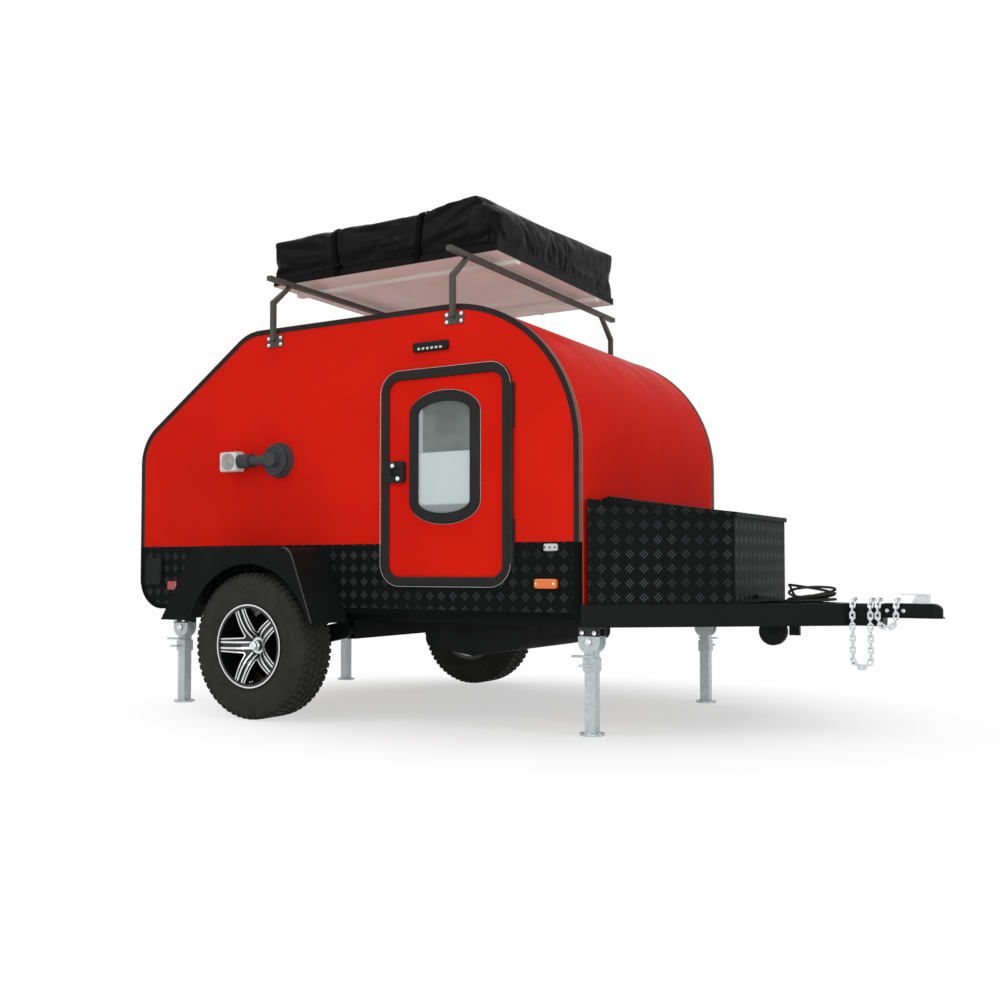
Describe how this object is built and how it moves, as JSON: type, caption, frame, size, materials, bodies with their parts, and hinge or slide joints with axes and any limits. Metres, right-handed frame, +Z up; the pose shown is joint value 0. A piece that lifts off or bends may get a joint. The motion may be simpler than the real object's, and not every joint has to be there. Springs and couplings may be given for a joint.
{
  "type": "teardrop trailer",
  "caption": "Teardrop camping trailer with side doors, rear hatch, folded roof tent on a rack, front toolbox, drop legs and tow coupler.",
  "frame": {"origin": "on the ground under the middle of the overall length, on the centre plane", "axes": "+X towards the tow coupler, +Y to the left, +Z up"},
  "size_m": [4.078, 2.27, 2.5751],
  "materials": {
    "red_body": "satin gloss red paint on composite panel",
    "black_panel": "black sheet over composite panel",
    "checker": "black painted five-bar checker plate",
    "black_frame": "satin black paint",
    "black_fender": "satin black paint",
    "trim": "dark satin",
    "black_plastic": "fine matte",
    "galvanised": "zinc plated",
    "coupler": "satin black",
    "tyre": "matte",
    "rim": "black with machined edges",
    "jockey_tread": "matte",
    "inner_wood": "birch ply",
    "mattress": "woven",
    "tent_base": "aluminium faced panel",
    "tent_cover": "coated fabric",
    "clear": "clear",
    "amber": "clear amber",
    "red_lens": "clear red",
    "glass": "clear",
    "cable": "matte"
  },
  "bodies": {
    "trailer": {"side_wall_right": "red_body", "side_wall_left": "red_body", "skirts": "checker", "edge_trims": "trim", "front_panel": "red_body", "rear_panel": "black_panel", "roof_panel": "red_body", "floor_panel": "black_panel", "bulkhead": "inner_wood", "mattress": "mattress", "galley_counter": "inner_wood", "door_jambs": "trim", "door_hinges": "trim", "side_rails": "black_frame", "cross_members": "black_frame", "drawbar_rails": "black_frame", "safety_chains": "galvanised", "drawbar_nose": "black_frame", "coupler": "coupler", "coupler_lever": "galvanised", "jockey_bracket": "black_frame", "axle_beam": "black_frame", "trailing_arms": "black_frame", "fenders": "black_fender", "amber_markers": "amber", "wall_covers": "black_plastic", "red_lamps": "red_lens", "side_lamp": "black_plastic", "clear_lenses": "clear", "rack_posts": "black_frame", "rack_crossbars": "trim", "tent_base": "tent_base", "tent_cover": "tent_cover", "toolbox": "checker", "leg_brackets": "galvanised", "water_tank": "black_plastic", "cable_coil": "cable", "cable_lead": "cable", "cable_plug": "cable"},
    "wheel_right": {"tyre_right": "tyre", "rim_right": "rim"},
    "wheel_left": {"tyre_left": "tyre", "rim_left": "rim"},
    "door_right": {"door_panel_right": "red_body", "door_frame_right": "trim", "door_fittings_right": "black_plastic", "window_glass_right": "glass"},
    "door_left": {"door_panel_left": "red_body", "door_frame_left": "trim", "door_fittings_left": "black_plastic", "window_glass_left": "glass"},
    "hatch": {"hatch_panel": "red_body", "hatch_handle": "black_plastic"},
    "lid": {"toolbox_lid": "checker"},
    "leg_front_right": {"leg_front_right": "galvanised"},
    "leg_front_left": {"leg_front_left": "galvanised"},
    "leg_rear_right": {"leg_rear_right": "galvanised"},
    "leg_rear_left": {"leg_rear_left": "galvanised"},
    "jockey_arm": {"jockey_arm": "black_frame"},
    "jockey_wheel": {"jockey_wheel": "jockey_tread"}
  },
  "joints": [
    {"name": "wheel_right_spin", "type": "hinge", "parent": "trailer", "child": "wheel_right", "pos_m": [-0.979, -1.016, 0.358], "axis": [0, 1, 0], "continuous": true},
    {"name": "wheel_left_spin", "type": "hinge", "parent": "trailer", "child": "wheel_left", "pos_m": [-0.979, 1.016, 0.358], "axis": [0, 1, 0], "continuous": true},
    {"name": "door_right_swing", "type": "hinge", "parent": "trailer", "child": "door_right", "pos_m": [0.3495, -0.8625, 1.165], "axis": [0, 0, 1], "range_deg": [0, 100]},
    {"name": "door_left_swing", "type": "hinge", "parent": "trailer", "child": "door_left", "pos_m": [0.3495, 0.8625, 1.165], "axis": [0, 0, -1], "range_deg": [0, 100]},
    {"name": "hatch_lift", "type": "hinge", "parent": "trailer", "child": "hatch", "pos_m": [-1.149, 0, 1.9755], "axis": [0, 1, 0], "range_deg": [0, 60]},
    {"name": "lid_lift", "type": "hinge", "parent": "trailer", "child": "lid", "pos_m": [0.7655, 0, 1.05031], "axis": [0, -1, 0], "range_deg": [0, 80]},
    {"name": "leg_front_right_fold", "type": "hinge", "parent": "trailer", "child": "leg_front_right", "pos_m": [0.677, -0.717, 0.412], "axis": [0, 1, 0], "range_deg": [0, 90]},
    {"name": "leg_front_left_fold", "type": "hinge", "parent": "trailer", "child": "leg_front_left", "pos_m": [0.677, 0.717, 0.412], "axis": [0, 1, 0], "range_deg": [0, 90]},
    {"name": "leg_rear_right_fold", "type": "hinge", "parent": "trailer", "child": "leg_rear_right", "pos_m": [-1.823, -0.717, 0.412], "axis": [0, -1, 0], "range_deg": [0, 90]},
    {"name": "leg_rear_left_fold", "type": "hinge", "parent": "trailer", "child": "leg_rear_left", "pos_m": [-1.823, 0.717, 0.412], "axis": [0, -1, 0], "range_deg": [0, 90]},
    {"name": "jockey_swing", "type": "hinge", "parent": "trailer", "child": "jockey_arm", "pos_m": [1.521, 0, 0.528], "axis": [0, -1, 0], "range_deg": [0, 90]},
    {"name": "jockey_spin", "type": "hinge", "parent": "jockey_arm", "child": "jockey_wheel", "pos_m": [1.276, 0, 0.441], "axis": [0, 1, 0], "continuous": true}
  ]
}
